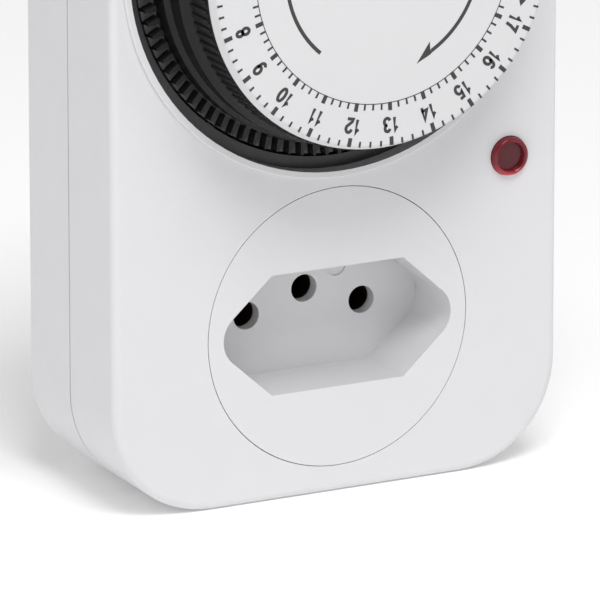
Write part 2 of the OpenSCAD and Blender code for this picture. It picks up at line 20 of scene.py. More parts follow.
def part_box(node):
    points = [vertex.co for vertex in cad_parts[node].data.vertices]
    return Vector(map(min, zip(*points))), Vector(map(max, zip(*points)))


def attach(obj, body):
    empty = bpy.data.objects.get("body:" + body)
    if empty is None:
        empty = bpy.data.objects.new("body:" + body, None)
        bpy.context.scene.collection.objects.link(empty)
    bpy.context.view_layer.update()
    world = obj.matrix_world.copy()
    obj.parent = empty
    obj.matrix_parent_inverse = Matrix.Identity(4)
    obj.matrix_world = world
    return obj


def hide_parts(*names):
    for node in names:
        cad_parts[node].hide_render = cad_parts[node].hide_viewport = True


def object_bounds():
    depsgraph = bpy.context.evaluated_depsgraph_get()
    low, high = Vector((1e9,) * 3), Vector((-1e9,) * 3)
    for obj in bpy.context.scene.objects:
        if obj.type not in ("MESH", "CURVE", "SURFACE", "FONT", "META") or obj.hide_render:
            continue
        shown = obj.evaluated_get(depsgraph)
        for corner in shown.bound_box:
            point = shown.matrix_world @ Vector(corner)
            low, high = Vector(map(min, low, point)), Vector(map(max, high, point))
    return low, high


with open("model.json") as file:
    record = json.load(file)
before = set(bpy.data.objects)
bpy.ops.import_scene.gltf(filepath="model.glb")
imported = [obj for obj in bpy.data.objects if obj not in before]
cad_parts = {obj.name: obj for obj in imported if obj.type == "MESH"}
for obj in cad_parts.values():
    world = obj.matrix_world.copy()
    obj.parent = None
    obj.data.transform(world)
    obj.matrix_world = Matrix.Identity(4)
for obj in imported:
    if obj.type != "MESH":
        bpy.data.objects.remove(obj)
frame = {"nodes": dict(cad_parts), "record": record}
CAD_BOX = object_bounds()

log = logging.getLogger("timer")

MM = 0.001
RGB = tuple[float, float, float]
Point2 = tuple[float, float]
Socket = bpy.types.NodeSocket


class Body(Enum):
    """Bodies that the new pieces ride on."""

    HOUSING = "housing"
    DIAL = "dial"


class Slot(Enum):
    """Material slots of the record that this script dresses."""

    CASE = "case_white"
    BEZEL = "bezel_grey"
    DIAL = "dial_black"
    TAPPET = "tappet_black"
    GUIDE = "guide_grey"
    FACE = "dial_white"
    INNER = "inner_plastic"
    ROTOR = "rotor_plastic"
    SLIDER = "slider_grey"
    BRASS = "brass"
    PIN = "plated_pin"
    STEEL = "steel"
    CAN = "can_metal"
    COIL = "coil_tape"
    LENS = "lens_red"
    LAMP = "lamp_glass"
    RESISTOR = "resistor_body"


def grey(level: float) -> RGB:
    """Returns a neutral colour of one level."""
    return (level, level, level)


# ---- node trees ----


class Shading:
    """Builds one material's node tree, with short calls for the usual steps."""

    def __init__(self, name: str) -> None:
        """Starts an empty tree with a surface shader and its output.

        Args:
            name: name of the material.
        """
        self.material = bpy.data.materials.new(name)
        self.material.use_nodes = True
        self.tree = self.material.node_tree
        self.tree.nodes.clear()
        output = self.tree.nodes.new("ShaderNodeOutputMaterial")
        self.surface = self.tree.nodes.new("ShaderNodeBsdfPrincipled")
        self.tree.links.new(self.surface.outputs["BSDF"], output.inputs["Surface"])
        self.place = self.tree.nodes.new("ShaderNodeTexCoord").outputs["Object"]

    def add(self, kind: str, **settings: object) -> bpy.types.Node:
        """Adds a node and sets its properties.

        Args:
            kind: the node's type name.
            **settings: properties of the node.

        Returns:
            The new node.
        """
        node = self.tree.nodes.new(kind)
        for key, value in settings.items():
            setattr(node, key, value)
        return node

    def join(self, source: Socket, target: Socket) -> None:
        """Links one socket to another."""
        self.tree.links.new(source, target)

    def stretched(self, scale: Sequence[float]) -> Socket:
        """Returns the object's coordinates, scaled along each axis."""
        node = self.add("ShaderNodeMapping")
        node.inputs["Scale"].default_value = tuple(scale)
        self.join(self.place, node.inputs["Vector"])
        return node.outputs["Vector"]

    def noise(self, size: float, detail: float = 3.0, place: Socket | None = None) -> Socket:
        """Adds a noise pattern.

        Args:
            size: size of one blotch, in metres.
            detail: number of finer layers.
            place: coordinates; the object's own if left out.

        Returns:
            The pattern's value, around 0.5.
        """
        node = self.add("ShaderNodeTexNoise")
        node.inputs["Scale"].default_value = 1.0 / size
        node.inputs["Detail"].default_value = detail
        node.inputs["Roughness"].default_value = 0.55
        self.join(place or self.place, node.inputs["Vector"])
        return node.outputs["Fac"]

    def spread(self, value: Socket, low: float, high: float, start: float = 0.3, end: float = 0.7) -> Socket:
        """Maps a pattern's middle range onto low to high.

        Args:
            value: the pattern.
            low: result at start.
            high: result at end.
            start: lower end of the range that is used.
            end: upper end of the range that is used.

        Returns:
            The mapped value.
        """
        node = self.add("ShaderNodeMapRange")
        for key, number in (("From Min", start), ("From Max", end), ("To Min", low), ("To Max", high)):
            node.inputs[key].default_value = number
        self.join(value, node.inputs["Value"])
        return node.outputs["Result"]

    def blend(self, share: Socket, first: RGB, second: RGB) -> Socket:
        """Mixes two colours by a value from 0 to 1.

        Args:
            share: 0 gives the first colour, 1 the second.
            first: first colour.
            second: second colour.

        Returns:
            The mixed colour.
        """
        node = self.add("ShaderNodeMix", data_type="RGBA")
        for socket in node.inputs:
            if socket.name == "A" and socket.type == "RGBA":
                socket.default_value = (*first, 1.0)
            if socket.name == "B" and socket.type == "RGBA":
                socket.default_value = (*second, 1.0)
        self.join(share, node.inputs[0])
        return next(s for s in node.outputs if s.type == "RGBA")

    def paint(self, pattern: Socket, first: RGB, second: RGB) -> None:
        """Colours the surface by a pattern's middle range.

        Args:
            pattern: the grey value that steers the colour.
            first: colour where the pattern is low.
            second: colour where the pattern is high.
        """
        self.join(self.blend(self.spread(pattern, 0.0, 1.0), first, second), self.surface.inputs["Base Color"])

    def polish(self, roughness: Socket) -> None:
        """Sets the surface's roughness.

        Args:
            roughness: the value that steers it.
        """
        self.join(roughness, self.surface.inputs["Roughness"])

    def calc(self, operation: str, first: Socket, second: Socket | float) -> Socket:
        """Combines two values with one maths operation.

        Args:
            operation: name of the operation.
            first: first value.
            second: second value, a socket or a number.

        Returns:
            The result.
        """
        node = self.add("ShaderNodeMath", operation=operation)
        self.join(first, node.inputs[0])
        if isinstance(second, (int, float)):
            node.inputs[1].default_value = second
        else:
            self.join(second, node.inputs[1])
        return node.outputs["Value"]

    def relief(self, height: Socket, depth: float, strength: float = 1.0) -> None:
        """Adds a bump to the surface, on top of any bump already there.

        Args:
            height: the pattern.
            depth: height of the relief, in metres.
            strength: how much of it shows.
        """
        node = self.add("ShaderNodeBump")
        node.inputs["Strength"].default_value = strength
        node.inputs["Distance"].default_value = depth
        self.join(height, node.inputs["Height"])
        normal = self.surface.inputs["Normal"]
        if normal.is_linked:
            self.join(normal.links[0].from_socket, node.inputs["Normal"])
        self.join(node.outputs["Normal"], normal)

    def setting(self, **values: float | tuple) -> None:
        """Sets plain values on the surface shader's own sockets."""
        for key, value in values.items():
            self.surface.inputs[key.replace("_", " ")].default_value = value


# ---- finishes ----


@dataclass(frozen=True)
class Finish:
    """A finish with a name and a main colour."""

    name: str
    colour: RGB

    @property
    def label(self) -> str:
        """Returns the name of the finish's own material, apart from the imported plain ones."""
        return f"{self.name}_finish"

    def material(self) -> bpy.types.Material:
        """Returns the finish's material, which is made once."""
        return bpy.data.materials.get(self.label) or self.build()

    def build(self) -> bpy.types.Material:
        """Builds the material.

        Returns:
            The new material.
        """
        raise NotImplementedError

    def tinted(self, factor: float) -> RGB:
        """Returns the main colour made lighter or darker by a factor."""
        return tuple(min(1.0, c * factor) for c in self.colour)


@dataclass(frozen=True)
class MouldedPlastic(Finish):
    """Injection moulded plastic: fine spark grain, slight flow marks and uneven gloss."""

    roughness: float = 0.4
    grain: float = 0.35 * MM
    grain_depth: float = 0.004 * MM
    flow: float = 9 * MM
    flow_depth: float = 0.02 * MM
    shift: float = 0.03
    gloss_shift: float = 0.06
    coat: float = 0.0
    depth_glow: float = 0.0
    shine: float = 0.5

    def build(self) -> bpy.types.Material:
        """Builds the plastic.

        Returns:
            The new material.
        """
        sheet = Shading(self.label)
        clouds = sheet.noise(self.flow, 2.0)
        grain = sheet.noise(self.grain, 4.0)
        mixed = sheet.calc("ADD", sheet.calc("MULTIPLY", clouds, 0.7), sheet.calc("MULTIPLY", grain, 0.3))
        sheet.paint(mixed, self.tinted(1 - self.shift), self.tinted(1 + self.shift))
        smooth, dull = self.roughness - self.gloss_shift, self.roughness + self.gloss_shift
        sheet.polish(sheet.spread(sheet.noise(self.flow / 3, 5.0), smooth, dull))
        sheet.relief(clouds, self.flow_depth, 0.5)
        sheet.relief(grain, self.grain_depth, 0.6)
        sheet.setting(IOR=1.5, Coat_Weight=self.coat, Coat_Roughness=0.15, Specular_IOR_Level=self.shine)
        if self.depth_glow:
            sheet.setting(Subsurface_Weight=self.depth_glow, Subsurface_Scale=0.6 * MM)
            sheet.setting(Subsurface_Radius=(1.0, 0.8, 0.7))
        return sheet.material


@dataclass(frozen=True)
class PrintInk(Finish):
    """Pad printed ink, a little thin and uneven."""

    def build(self) -> bpy.types.Material:
        """Builds the ink.

        Returns:
            The new material.
        """
        sheet = Shading(self.label)
        speck = sheet.noise(0.18 * MM, 4.0)
        sheet.paint(speck, self.tinted(0.7), self.tinted(1.5))
        sheet.polish(sheet.spread(speck, 0.34, 0.5))
        sheet.relief(speck, 0.004 * MM, 0.5)
        return sheet.material


@dataclass(frozen=True)
class StampedMetal(Finish):
    """Rolled or drawn metal with fine lines along one axis."""

    roughness: float = 0.3
    along: Sequence[float] = (1.0, 0.06, 1.0)
    line: float = 0.12 * MM
    tarnish: float = 0.25

    def build(self) -> bpy.types.Material:
        """Builds the metal.

        Returns:
            The new material.
        """
        sheet = Shading(self.label)
        lines = sheet.noise(self.line, 4.0, sheet.stretched(self.along))
        stain = sheet.noise(3 * MM, 5.0)
        mixed = sheet.calc("ADD", sheet.calc("MULTIPLY", lines, 0.5), sheet.calc("MULTIPLY", stain, 0.5))
        sheet.paint(mixed, self.tinted(1 - self.tarnish), self.colour)
        sheet.polish(sheet.spread(mixed, self.roughness + 0.12, self.roughness - 0.08))
        sheet.relief(lines, 0.003 * MM, 0.6)
        sheet.setting(Metallic=1.0)
        return sheet.material


@dataclass(frozen=True)
class LensPlastic(Finish):
    """Clear red lens over a dark well: darker in its middle as painted shade of the well, bright towards its rim, with
    a painted highlight glowing along its lower edge.
    """

    centre: Point2 = (0.0, 0.0)
    radius: float = 2.9 * MM

    def build(self) -> bpy.types.Material:
        """Builds the lens.

        Returns:
            The new material.
        """
        sheet = Shading(self.label)
        split = sheet.add("ShaderNodeSeparateXYZ")
        sheet.join(sheet.place, split.inputs["Vector"])
        aside = sheet.calc("SUBTRACT", split.outputs["X"], self.centre[0])
        upward = sheet.calc("SUBTRACT", split.outputs["Z"], self.centre[1])
        squares = sheet.calc("ADD", sheet.calc("MULTIPLY", aside, aside), sheet.calc("MULTIPLY", upward, upward))
        across = sheet.calc("POWER", squares, 0.5)
        haze = sheet.calc("MULTIPLY", sheet.calc("SUBTRACT", sheet.noise(0.7 * MM, 3.0), 0.5), 0.5 * MM)
        # painted shade: the lens's middle is mixed towards near black, standing in for the shade of the dark well
        # behind it
        share = sheet.spread(sheet.calc("ADD", across, haze), 0.0, 1.0, 0.62 * self.radius, 0.86 * self.radius)
        sheet.join(sheet.blend(share, (0.085, 0.006, 0.011), self.colour), sheet.surface.inputs["Base Color"])
        # painted highlight: the lower edge of the lens glows red, standing in for the light caught along its rim
        highlight_height = sheet.calc("SUBTRACT", sheet.calc("MULTIPLY", share, 0.6 * self.radius), upward)
        low = sheet.spread(highlight_height, 0.0, 1.0, 0.9 * self.radius, 1.5 * self.radius)
        sheet.join(sheet.blend(low, (0.0, 0.0, 0.0), (0.42, 0.03, 0.035)), sheet.surface.inputs["Emission Color"])
        sheet.polish(sheet.spread(sheet.noise(0.3 * MM, 3.0), 0.12, 0.24))
        sheet.relief(sheet.noise(1.2 * MM, 2.0), 0.02 * MM, 0.5)
        # Emission_Strength sets how brightly the painted highlight on the lower edge glows
        sheet.setting(IOR=1.49, Coat_Weight=0.15, Coat_Roughness=0.08, Specular_IOR_Level=0.3, Emission_Strength=0.6)
        return sheet.material


@dataclass(frozen=True)
class LampGlass(Finish):
    """Thin clear glass with faint drawing lines."""

    def build(self) -> bpy.types.Material:
        """Builds the glass.

        Returns:
            The new material.
        """
        sheet = Shading(self.label)
        lines = sheet.noise(0.6 * MM, 3.0, sheet.stretched((1.0, 0.2, 1.0)))
        sheet.paint(lines, self.tinted(0.9), self.colour)
        sheet.polish(sheet.spread(lines, 0.04, 0.12))
        sheet.relief(lines, 0.01 * MM, 0.4)
        sheet.setting(Transmission_Weight=0.85, IOR=1.5)
        return sheet.material


@dataclass(frozen=True)
class StudioPaper(Finish):
    """Plain pale floor with a barely seen mottle and a faint glow."""

    glow: float = 0.12

    def build(self) -> bpy.types.Material:
        """Builds the floor's finish.

        Returns:
            The new material.
        """
        sheet = Shading(self.label)
        fibre = sheet.noise(6 * MM, 4.0)
        sheet.paint(fibre, self.tinted(0.99), self.colour)
        sheet.setting(Roughness=0.9, Specular_IOR_Level=0.1)
        sheet.setting(Emission_Color=(1.0, 1.0, 1.0, 1.0), Emission_Strength=self.glow)
        return sheet.material


FINISHES: dict[Slot, Finish] = {
    Slot.CASE: MouldedPlastic("case_white", (0.68, 0.675, 0.69), 0.36, shift=0.012, coat=0.05, depth_glow=0.05),
    Slot.BEZEL: MouldedPlastic("bezel_grey", (0.03, 0.029, 0.03), 0.3, shift=0.08, shine=0.4),
    Slot.DIAL: MouldedPlastic("dial_black", (0.008, 0.0075, 0.008), 0.34, shift=0.15, flow=5 * MM, shine=0.25),
    Slot.TAPPET: MouldedPlastic("tappet_black", (0.012, 0.0115, 0.012), 0.38, shift=0.15, flow=3 * MM, shine=0.3),
    Slot.GUIDE: MouldedPlastic("guide_grey", (0.13, 0.13, 0.135), 0.5, shift=0.05, shine=0.15),
    Slot.FACE: MouldedPlastic("dial_white", (0.645, 0.645, 0.655), 0.42, shift=0.01, flow=14 * MM, coat=0.05),
    Slot.INNER: MouldedPlastic("inner_plastic", (0.72, 0.69, 0.58), 0.45, shift=0.04),
    Slot.ROTOR: MouldedPlastic("rotor_plastic", (0.07, 0.07, 0.075), 0.5, shift=0.1),
    Slot.SLIDER: MouldedPlastic("slider_grey", grey(0.035), 0.42, shift=0.1),
    Slot.BRASS: StampedMetal("brass", (0.78, 0.58, 0.26), 0.28),
    Slot.PIN: StampedMetal("plated_pin", (0.74, 0.73, 0.69), 0.2, line=0.2 * MM, tarnish=0.12),
    Slot.STEEL: StampedMetal("steel", (0.62, 0.62, 0.60), 0.3),
    Slot.CAN: StampedMetal("can_metal", (0.66, 0.66, 0.67), 0.34, along=(0.1, 1.0, 1.0)),
    Slot.COIL: MouldedPlastic(
        "coil_tape", (0.62, 0.38, 0.08), 0.35, grain=0.8 * MM, grain_depth=0.02 * MM, shift=0.1
    ),
    Slot.LAMP: LampGlass("lamp_glass", (0.95, 0.80, 0.72)),
    Slot.RESISTOR: MouldedPlastic("resistor_body", (0.62, 0.46, 0.26), 0.4, shift=0.06),
}
AGED_BRASS = StampedMetal("aged_brass", (0.10, 0.07, 0.035), 0.5)
INK = PrintInk("printed_black", (0.03, 0.029, 0.031))
FOIL = StampedMetal("rating_foil", (0.72, 0.72, 0.73), 0.42, along=(0.05, 1.0, 1.0), tarnish=0.06)


# ---- mesh helpers ----


def polar(radius: float, angle: float) -> Point2:
    """Returns the point at a radius and an angle in degrees, counter-clockwise from +X seen from the front."""
    turn = math.radians(angle)
    return radius * math.cos(turn), radius * math.sin(turn)


def arc(radius: float, start: float, end: float, steps: int) -> list[Point2]:
    """Returns points along an arc.

    Args:
        radius: the arc's radius.
        start: first angle, in degrees.
        end: last angle, in degrees.
        steps: number of equal steps.

    Returns:
        steps + 1 points.
    """
    return [polar(radius, start + (end - start) * k / steps) for k in range(steps + 1)]


@dataclass
class Piece:
    """A new piece of the timer: its name, body, slot and finish."""

    name: str
    body: Body
    slot: Slot
    finish: Finish

    def place(self, mesh: bpy.types.Mesh, stands_for: Sequence[str] = ()) -> bpy.types.Object:
        """Puts a finished mesh into the scene as this piece.

        Args:
            mesh: the mesh, already in place.
            stands_for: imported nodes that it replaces.

        Returns:
            The new object.
        """
        mesh.materials.clear()
        mesh.materials.append(self.finish.material())
        piece = bpy.data.objects.new(self.name, mesh)
        bpy.context.scene.collection.objects.link(piece)
        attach(piece, self.body.value)
        if stands_for:
            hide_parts(*stands_for)
        log.info("%s rides on %s, %d faces", self.name, self.body.value, len(mesh.polygons))
        return piece


def mesh_of(name: str, build: Callable[[bmesh.types.BMesh], None], smooth: float | None = None) -> bpy.types.Mesh:
    """Builds a mesh with a function that fills a bmesh.

    Args:
        name: name of the mesh.
        build: adds the geometry.
        smooth: largest angle between smooth faces, in degrees; flat faces if left out.

    Returns:
        The mesh.
    """
    work = bmesh.new()
    build(work)
    bmesh.ops.recalc_face_normals(work, faces=work.faces)
    if smooth is not None:
        for face in work.faces:
            face.smooth = True
        for edge in work.edges:
            edge.smooth = not (edge.is_manifold and edge.calc_face_angle(0.0) > math.radians(smooth))
    mesh = bpy.data.meshes.new(name)
    work.to_mesh(mesh)
    work.free()
    return mesh


def add_plate(work: bmesh.types.BMesh, outline: Iterable[Point2], centre: Point2, front: float, back: float) -> None:
    """Adds a flat plate to a bmesh.

    Args:
        work: the bmesh.
        outline: points across the front, round the plate.
        centre: where the outline's own origin is.
        front: depth of the front face.
        back: depth of the back face.
    """
    ring = [(centre[0] + x, centre[1] + z) for x, z in outline]
    near = [work.verts.new((x, front, z)) for x, z in ring]
    far = [work.verts.new((x, back, z)) for x, z in ring]
    work.faces.new(near)
    work.faces.new(far[::-1])
    for k in range(len(ring)):
        after = (k + 1) % len(ring)
        work.faces.new((near[k], far[k], far[after], near[after]))


def add_turned(work: bmesh.types.BMesh, profile: Sequence[Point2], centre: Point2, sides: int) -> None:
    """Adds a turned shape about an axis along the depth.

    Args:
        work: the bmesh.
        profile: radius and depth of each ring; a radius of zero closes the shape.
        centre: place of the axis, across and up.
        sides: number of sides.
    """
    rings: list[list[bmesh.types.BMVert]] = []
    for radius, depth in profile:
        if radius <= 0:
            rings.append([work.verts.new((centre[0], depth, centre[1]))])
            continue
        points = (polar(radius, 360 * k / sides) for k in range(sides))
        rings.append([work.verts.new((centre[0] + x, depth, centre[1] + z)) for x, z in points])
    for first, second in zip(rings, rings[1:]):
        for k in range(sides):
            after = (k + 1) % sides
            corners = [first[k % len(first)], first[after % len(first)]]
            corners += [second[after % len(second)], second[k % len(second)]]
            kept = [v for n, v in enumerate(corners) if v not in corners[:n]]
            if len(kept) > 2:
                work.faces.new(kept)


# ---- digits ----


@dataclass(frozen=True)
class Digit:
    """A digit's strokes in a box one wide and one high, and the box's width as a share of the height."""

    strokes: Sequence[Sequence[Point2]]
    width: float = 0.56


def bow(middle: Point2, across: float, up: float, start: float, end: float, steps: int = 12) -> list[Point2]:
    """Returns points along part of an ellipse.

    Args:
        middle: centre of the ellipse.
        across: half its width.
        up: half its height.
        start: first angle, in degrees.
        end: last angle, in degrees.
        steps: number of equal steps.

    Returns:
        steps + 1 points.
    """
    turns = (math.radians(start + (end - start) * k / steps) for k in range(steps + 1))
    return [(middle[0] + across * math.cos(t), middle[1] + up * math.sin(t)) for t in turns]


DIGITS: dict[str, Digit] = {
    "0": Digit([bow((0.5, 0.5), 0.5, 0.5, 90, 450, 28)]),
    "1": Digit([[(0.0, 0.72), (0.75, 0.84), (1.0, 1.0), (1.0, 0.0)]], 0.36),
    "2": Digit([[*bow((0.5, 0.7), 0.5, 0.3, 170, -25, 14), (0.1, 0.2), (0.0, 0.0), (1.0, 0.0)]]),
    "3": Digit([bow((0.48, 0.755), 0.44, 0.245, 165, -90, 14), bow((0.5, 0.27), 0.5, 0.27, 90, -165, 14)]),
    "4": Digit([[(0.78, 0.0), (0.78, 1.0), (0.0, 0.28), (1.0, 0.28)]]),
    "5": Digit([[(0.92, 1.0), (0.2, 1.0), (0.08, 0.52), *bow((0.5, 0.32), 0.5, 0.32, 128, -160, 18)]]),
    "6": Digit([[*bow((0.55, 0.62), 0.5, 0.38, 40, 150, 8), (0.0, 0.4)], bow((0.5, 0.31), 0.5, 0.31, 0, 360, 24)]),
    "7": Digit([[(0.0, 1.0), (1.0, 1.0), (0.5, 0.45), (0.32, 0.0)]]),
    "8": Digit([bow((0.5, 0.755), 0.42, 0.245, -90, 270, 20), bow((0.5, 0.27), 0.5, 0.27, 90, 450, 22)]),
    "9": Digit([[*bow((0.45, 0.38), 0.5, 0.38, 220, 330, 8), (1.0, 0.6)], bow((0.5, 0.69), 0.5, 0.31, 0, 360, 24)]),
}


# ---- the timer ----


@dataclass
class Mouldings:
    """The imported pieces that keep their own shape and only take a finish."""

    finishes: dict[Slot, Finish] = field(default_factory=lambda: FINISHES)
    aged: Sequence[str] = ("sleeve_live", "sleeve_neutral", "sleeve_earth")

    def dress(self) -> None:
        """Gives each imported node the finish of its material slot."""
        for row in frame["record"]["subparts"]:
            slot = Slot(row["material_slot"])
            if slot not in self.finishes:
                continue
            node = frame["nodes"][row["node"]]
            finish = AGED_BRASS if row["node"] in self.aged else self.finishes[slot]
            for place in node.material_slots:
                place.material = finish.material()


@dataclass
class DialFace:
    """White disc on the dial's front, with its printed hours, quarter-hour ticks and turning arrows."""

    ink: float = 0.03 * MM
    bevel: float = 0.85 * MM
    bevel_d: float = 1.4 * MM
    hours: int = 24
    quarters: int = 4
    noon: float = -102.1
    inner_base: float = 20.4 * MM
    inner_tick: float = 0.85 * MM
    inner_hour: float = 1.25 * MM
    outer_end: float = 26.72 * MM
    outer_tick: float = 0.85 * MM
    outer_hour: float = 1.3 * MM
    tick_w: float = 0.3 * MM
    hour_w: float = 0.62 * MM
    ring_w: float = 0.12 * MM
    digit_r: float = 23.62 * MM
    digit_h: float = 2.45 * MM
    digit_gap: float = 0.28 * MM
    pen: float = 0.46 * MM
    arrow_r: float = 15.5 * MM
    arrow_w: float = 0.55 * MM
    arrow_tail: float = 49.0
    arrow_neck: float = -60.0
    arrow_tip: Point2 = (16.0 * MM, -70.4)
    arrow_barb: Point2 = (14.2 * MM, -58.3)
    pointer_tip: Point2 = (23.8 * MM, -20.9)
    pointer_base: Point2 = (22.75 * MM, 24.85 * MM)
    pointer_angle: float = -16.6

    def __post_init__(self) -> None:
        """Takes the disc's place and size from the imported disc."""
        low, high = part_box("dial_label")
        self.centre = ((low.x + high.x) / 2, (low.z + high.z) / 2)
        self.radius = (high.x - low.x) / 2
        self.top = low.y
        self.face = low.y + self.ink
        self.back = high.y

    def angle(self, quarter: int) -> float:
        """Returns the angle of a quarter-hour mark, counted from hour 0."""
        return self.noon + 15.0 * (quarter / self.quarters - 12)

    def disc(self) -> bpy.types.Object:
        """Builds the disc with its bevelled edge.

        Returns:
            The disc.
        """
        edge = self.face + self.bevel_d
        rim = self.radius - self.bevel
        profile = [(0.0, self.face), (5 * MM, self.face), (rim - 0.3 * MM, self.face), (rim, self.face + 0.03 * MM)]
        profile += [(rim + 0.25 * MM, self.face + 0.2 * MM), (self.radius - 0.12 * MM, edge - 0.3 * MM)]
        profile += [(self.radius, edge)]
        profile += [(self.radius, self.back - 0.2 * MM), (self.radius - 0.15 * MM, self.back), (0.0, self.back)]
        mesh = mesh_of("dial_face", lambda work: add_turned(work, profile, self.centre, 256), 25)
        return Piece("dial_face", Body.DIAL, Slot.FACE, FINISHES[Slot.FACE]).place(mesh, ("dial_label",))

    def print_shape(self, work: bmesh.types.BMesh, outline: Sequence[Point2]) -> None:
        """Adds one flat printed shape to the disc's face.

        Args:
            work: mesh that takes the shape.
            outline: corners of the shape, measured from the disc's centre.
        """
        add_plate(work, outline, self.centre, self.top, self.top + 1.5 * self.ink)

    def tick(self, work: bmesh.types.BMesh, angle: float, start: float, end: float, width: float) -> None:
        """Adds one radial tick.

        Args:
            work: the bmesh.
            angle: the tick's angle, in degrees.
            start: radius of its inner end.
            end: radius of its outer end.
            width: its width.
        """
        along = Vector(polar(1.0, angle))
        across = Vector((-along.y, along.x)) * (width / 2)
        corners = (along * start - across, along * end - across, along * end + across, along * start + across)
        self.print_shape(work, [tuple(c) for c in corners])

    def scale(self) -> bpy.types.Object:
        """Builds both rings of ticks and the thin circle inside the inner one.

        Returns:
            The printed scale.
        """

        def build(work: bmesh.types.BMesh) -> None:
            """Adds every tick and the circle."""
            for quarter in range(self.hours * self.quarters):
                hour = quarter % self.quarters == 0
                width = self.hour_w if hour else self.tick_w
                inner = self.inner_hour if hour else self.inner_tick
                outer = self.outer_hour if hour else self.outer_tick
                start = self.inner_base - (0.15 * MM if hour else 0.0)
                self.tick(work, self.angle(quarter), start, start + inner, width)
                self.tick(work, self.angle(quarter), self.outer_end - outer, self.outer_end, width)
            steps = 240
            for k in range(steps):
                first, last = 360 * k / steps, 360 * (k + 1) / steps
                band = arc(self.inner_base, first, last, 1) + arc(self.inner_base - self.ring_w, last, first, 1)
                add_plate(work, band, self.centre, self.top + 0.2 * self.ink, self.top + 1.5 * self.ink)

        return Piece("dial_scale", Body.DIAL, Slot.DIAL, INK).place(mesh_of("dial_scale", build))

    def arrows(self) -> bpy.types.Object:
        """Builds the two curved arrows that show which way the dial turns, and the small pointer between two hours.

        Returns:
            The printed arrows.
        """
        outer, inner = self.arrow_r + self.arrow_w / 2, self.arrow_r - self.arrow_w / 2
        tail, neck = self.arrow_tail, self.arrow_neck

        def build(work: bmesh.types.BMesh) -> None:
            """Adds both arrows and the pointer."""
            for turn in (0.0, 180.0):
                band = 48
                for k in range(band):
                    first = turn + tail + (neck - tail) * k / band
                    last = turn + tail + (neck - tail) * (k + 1) / band
                    self.print_shape(work, arc(outer, first, last, 1) + arc(inner, last, first, 1))
                head = [polar(outer, turn + neck), *arc(outer + 0.1 * MM, turn + neck - 2, turn + neck - 6, 4)]
                head += [polar(self.arrow_tip[0], turn + self.arrow_tip[1])]
                head += [polar(self.arrow_barb[0], turn + self.arrow_barb[1])]
                head += [polar(inner - 0.05 * MM, turn - 60.3)]
                self.print_shape(work, head)
            low, high = self.pointer_base
            pointer = [polar(self.pointer_tip[0], self.pointer_tip[1])]
            pointer += [polar(low, self.pointer_angle), polar(high, self.pointer_angle)]
            self.print_shape(work, pointer)

        return Piece("dial_arrows", Body.DIAL, Slot.DIAL, INK).place(mesh_of("dial_arrows", build))

    def stroke(self, work: bmesh.types.BMesh, path: Sequence[Point2], spot: Callable[[float, float], Point2]) -> None:
        """Adds one pen stroke of a digit as a band of even width with square ends and mitred corners.

        Args:
            work: the bmesh.
            path: the stroke's middle line, in metres from the digit's centre.
            spot: turns a point of the digit into a point of the face.
        """
        points = [Vector(p) for p in path]
        runs = [(after - before).normalized() for before, after in zip(points, points[1:])]
        sides: list[tuple[Point2, Point2]] = []
        for k, point in enumerate(points):
            before, after = runs[max(k - 1, 0)], runs[min(k, len(runs) - 1)]
            middle = (before + after).normalized()
            across = Vector((-middle.y, middle.x)) * (self.pen / 2 / max(0.5, middle.dot(after)))
            sides.append((spot(*(point + across)), spot(*(point - across))))
        for first, second in zip(sides, sides[1:]):
            self.print_shape(work, (first[0], second[0], second[1], first[1]))

    def figure(self, work: bmesh.types.BMesh, hour: int) -> None:
        """Adds an hour's number at its place, its top outwards.

        Args:
            work: the bmesh.
            hour: the hour.
        """
        outward = Vector(polar(1.0, self.angle(hour * self.quarters)))
        right = Vector((outward.y, -outward.x))
        digits = [DIGITS[c] for c in str(hour)]
        widths = [digit.width * self.digit_h for digit in digits]
        start = -(sum(widths) + self.digit_gap * (len(widths) - 1)) / 2
        for digit, width in zip(digits, widths):
            for path in digit.strokes:
                inner = self.digit_h - self.pen
                left, foot = start + self.pen / 2, self.pen / 2
                line = [(left + x * (width - self.pen), foot + y * inner - self.digit_h / 2) for x, y in path]
                self.stroke(work, line, lambda x, y: tuple(outward * (self.digit_r + y) + right * x))
            start += width + self.digit_gap

    def numbers(self) -> bpy.types.Object:
        """Builds the numbers of all hours as one piece.

        Returns:
            The printed numbers.
        """

        def build(work: bmesh.types.BMesh) -> None:
            """Adds each hour's number."""
            for hour in range(1, self.hours + 1):
                self.figure(work, hour)

        return Piece("dial_numbers", Body.DIAL, Slot.DIAL, INK).place(mesh_of("dial_numbers", build))

    def build(self) -> None:
        """Builds the whole face."""
        self.disc()
        self.scale()
        self.arrows()
        self.numbers()


